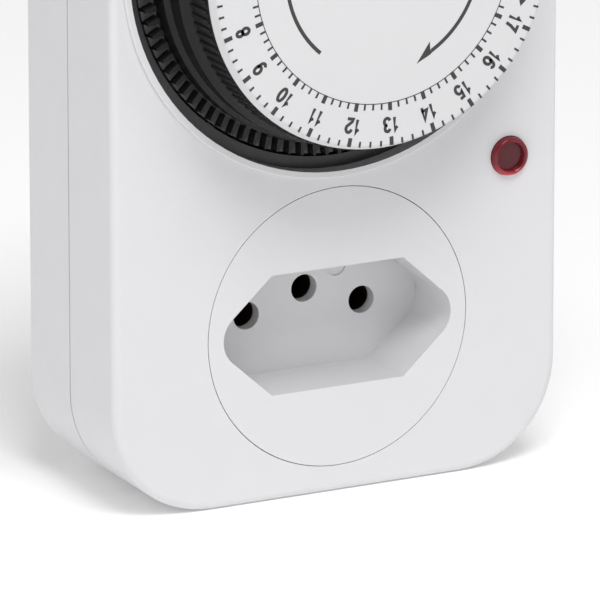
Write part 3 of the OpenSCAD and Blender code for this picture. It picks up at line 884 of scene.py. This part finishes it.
@dataclass
class LampLens:
    """Red lens over the lamp: a rounded rim round a slightly sunken window."""

    window: float = 0.70
    sunk: float = 0.75 * MM
    rim_h: float = 1.0 * MM
    sides: int = 96

    def __post_init__(self) -> None:
        """Takes the lens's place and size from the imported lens."""
        low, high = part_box("neon_lens")
        self.centre = ((low.x + high.x) / 2, (low.z + high.z) / 2)
        self.flange = (high.x - low.x) / 2
        self.radius = self.flange - 1 * MM
        self.back = high.y
        self.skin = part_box("socket_insert")[0].y

    def build(self) -> None:
        """Builds the lens."""
        face, inside = self.skin, self.window * self.radius
        lift = face - self.rim_h
        floor, shoulder = lift + self.sunk, face + 2.05 * MM
        profile = [(0.0, floor - 0.12 * MM), (0.5 * inside, floor - 0.09 * MM), (inside, floor)]
        profile += [(inside + 0.08 * MM, lift + 0.35 * MM), (inside + 0.2 * MM, lift + 0.1 * MM)]
        profile += [(inside + 0.38 * MM, lift), (self.radius - 0.3 * MM, lift + 0.06 * MM)]
        profile += [(self.radius - 0.1 * MM, lift + 0.2 * MM), (self.radius, lift + 0.5 * MM)]
        profile += [(self.radius, shoulder), (self.flange, shoulder), (self.flange, self.back), (0.0, self.back)]
        finish = LensPlastic("lens_red", (0.19, 0.014, 0.024), self.centre, self.radius)
        mesh = mesh_of("lamp_lens", lambda work: add_turned(work, profile, self.centre, self.sides), 40)
        Piece("lamp_lens", Body.HOUSING, Slot.LENS, finish).place(mesh, ("neon_lens",))


@dataclass
class RatingPlate:
    """Blank foil plate in the shallow recess on the back of the case."""

    half: Point2 = (21.6 * MM, 15.6 * MM)
    corner: float = 1.6 * MM
    thick: float = 0.15 * MM

    def build(self) -> None:
        """Builds the plate on the recess's floor, level with the dial's axis."""
        low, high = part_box("dial_label")
        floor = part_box("case_screws")[1].y + 0.1 * MM - 0.4 * MM
        across, up = self.half[0] - self.corner, self.half[1] - self.corner
        outline: list[Point2] = []
        for x, z, start in ((across, up, 0), (-across, up, 90), (-across, -up, 180), (across, -up, 270)):
            outline += [(x + dx, z + dz) for dx, dz in arc(self.corner, start, start + 90, 6)]
        centre = ((low.x + high.x) / 2, (low.z + high.z) / 2)
        mesh = mesh_of("rating_plate", lambda work: add_plate(work, outline, centre, floor, floor + self.thick))
        Piece("rating_plate", Body.HOUSING, Slot.CAN, FOIL).place(mesh)


# ---- studio ----


@dataclass
class Studio:
    """Pale floor, soft lights and the camera."""

    turn: float = 27.017
    tilt: float = 14.525
    distance: float = 1.11587
    lens: float = 458.23
    aim: Point2 = (0.003935, -0.035098)
    shift: Point2 = (-0.01323, -0.40270)
    floor_gap: float = 0.05 * MM
    sky: float = 0.47

    def floor(self) -> None:
        """Lays the floor just under the case."""
        level = CAD_BOX[0].z - self.floor_gap
        mesh = mesh_of("floor", lambda work: bmesh.ops.create_grid(work, x_segments=1, y_segments=1, size=3.0))
        mesh.materials.append(StudioPaper("studio_paper", grey(0.97)).material())
        sheet = bpy.data.objects.new("floor", mesh)
        sheet.location = (0.0, 0.0, level)
        bpy.context.scene.collection.objects.link(sheet)

    def softbox(self, name: str, place: Vector, size: float, power: float) -> None:
        """Adds a square soft light aimed at the timer.

        Args:
            name: name of the light.
            place: where it stands.
            size: length of its side.
            power: its power, in watts.
        """
        light = bpy.data.lights.new(name, "AREA")
        light.size = size
        light.energy = power
        lamp = bpy.data.objects.new(name, light)
        lamp.location = place
        target = Vector((0.0, -0.02, 0.03))
        lamp.rotation_euler = (target - place).to_track_quat("-Z", "Y").to_euler()
        bpy.context.scene.collection.objects.link(lamp)

    def lights(self) -> None:
        """Sets the even sky and the soft lights."""
        world = bpy.data.worlds.new("studio")
        world.use_nodes = True
        backdrop = world.node_tree.nodes["Background"]
        backdrop.inputs["Color"].default_value = (1.0, 1.0, 1.0, 1.0)
        backdrop.inputs["Strength"].default_value = self.sky
        bpy.context.scene.world = world
        self.softbox("key", Vector((-0.1, -0.6, 0.95)), 0.5, 7.2)
        self.softbox("fill", Vector((-0.9, -0.55, 0.35)), 0.8, 1.8)
        self.softbox("edge", Vector((0.7, -0.7, 0.5)), 0.6, 0.5)

    def camera(self) -> None:
        """Sets the camera in front of the outlet, to the left of it and above."""
        low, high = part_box("socket_insert")
        middle = Vector((0.0, low.y, (low.z + high.z) / 2))
        a, e = math.radians(self.turn), math.radians(self.tilt)
        right = Vector((math.cos(a), -math.sin(a), 0.0))
        up = Vector((math.sin(a) * math.sin(e), math.cos(a) * math.sin(e), math.cos(e)))
        ahead = Vector((math.sin(a) * math.cos(e), math.cos(a) * math.cos(e), -math.sin(e)))
        data = bpy.data.cameras.new("camera")
        data.sensor_width = 36.0
        data.lens = self.lens
        data.shift_x, data.shift_y = self.shift
        data.clip_start, data.clip_end = 0.05, 20.0
        viewer = bpy.data.objects.new("camera", data)
        turn = Matrix((right, up, -ahead)).transposed().to_4x4()
        place = middle - (ahead + right * self.aim[0] + up * self.aim[1]) * self.distance
        viewer.matrix_world = Matrix.Translation(place) @ turn
        bpy.context.scene.collection.objects.link(viewer)
        bpy.context.scene.camera = viewer

    def build(self) -> None:
        """Builds the studio."""
        bpy.context.scene.view_settings.view_transform = "Standard"
        self.floor()
        self.lights()
        self.camera()
        log.info("studio is set")


def main() -> None:
    """Builds the timer's looks in order."""
    logging.basicConfig(level=logging.INFO, format="%(name)s: %(message)s")
    Studio().build()
    Mouldings().dress()
    DialFace().build()
    LampLens().build()
    RatingPlate().build()


if __name__ == "__main__":
    main()
